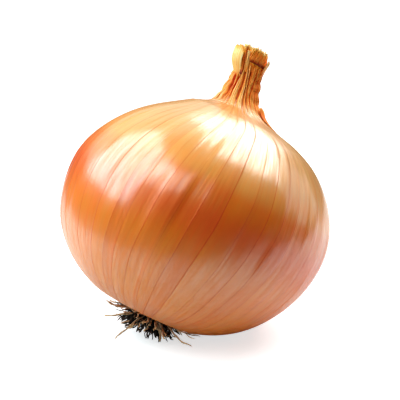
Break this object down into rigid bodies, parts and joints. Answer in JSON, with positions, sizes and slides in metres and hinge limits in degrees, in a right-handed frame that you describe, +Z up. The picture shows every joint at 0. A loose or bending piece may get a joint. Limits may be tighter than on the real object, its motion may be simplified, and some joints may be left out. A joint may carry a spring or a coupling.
{
  "type": "onion",
  "caption": "Whole dry brown onion with a papery skin, a pleated dried neck and a tuft of dried roots, lying a little over on the shoulder of its root end.",
  "frame": {"origin": "centre of the flat spot that the onion rests on, on its lowest face", "axes": "+Z is up from the table; the bulb's neck leans 26 degrees towards +X and tips back 15 degrees towards +Y, so -Y is the side that shows the root end's edge and the whole neck"},
  "size_m": [0.0802, 0.0793, 0.0848],
  "materials": {
    "outer_skin": "thin papery skin with a satin gloss and fine lengthwise veins",
    "pale_skin": "matt dried papery skin",
    "dry_leaf": "matt fibrous dried leaf",
    "dry_root": "matt dried root",
    "basal_plate": "matt dark cork"
  },
  "bodies": {
    "root": {"bulb": "outer_skin", "root_plate": "basal_plate", "pale_leaf_end": "pale_skin", "rolled_leaf_end": "pale_skin", "side_flake": "pale_skin", "folded_leaf_end": "dry_leaf", "narrow_leaf_end": "dry_leaf", "collar_flake": "dry_leaf", "root_01": "dry_root", "root_02": "dry_root", "root_03": "dry_root", "root_04": "dry_root", "root_05": "dry_root", "root_06": "dry_root", "root_07": "dry_root", "root_08": "dry_root", "root_09": "dry_root", "root_10": "dry_root", "root_11": "dry_root", "root_12": "dry_root", "root_13": "dry_root", "root_14": "dry_root", "root_15": "dry_root", "root_16": "dry_root", "root_17": "dry_root", "root_18": "dry_root", "root_19": "dry_root", "root_20": "dry_root", "root_21": "dry_root", "root_22": "dry_root", "root_23": "dry_root", "root_24": "dry_root"}
  },
  "joints": []
}
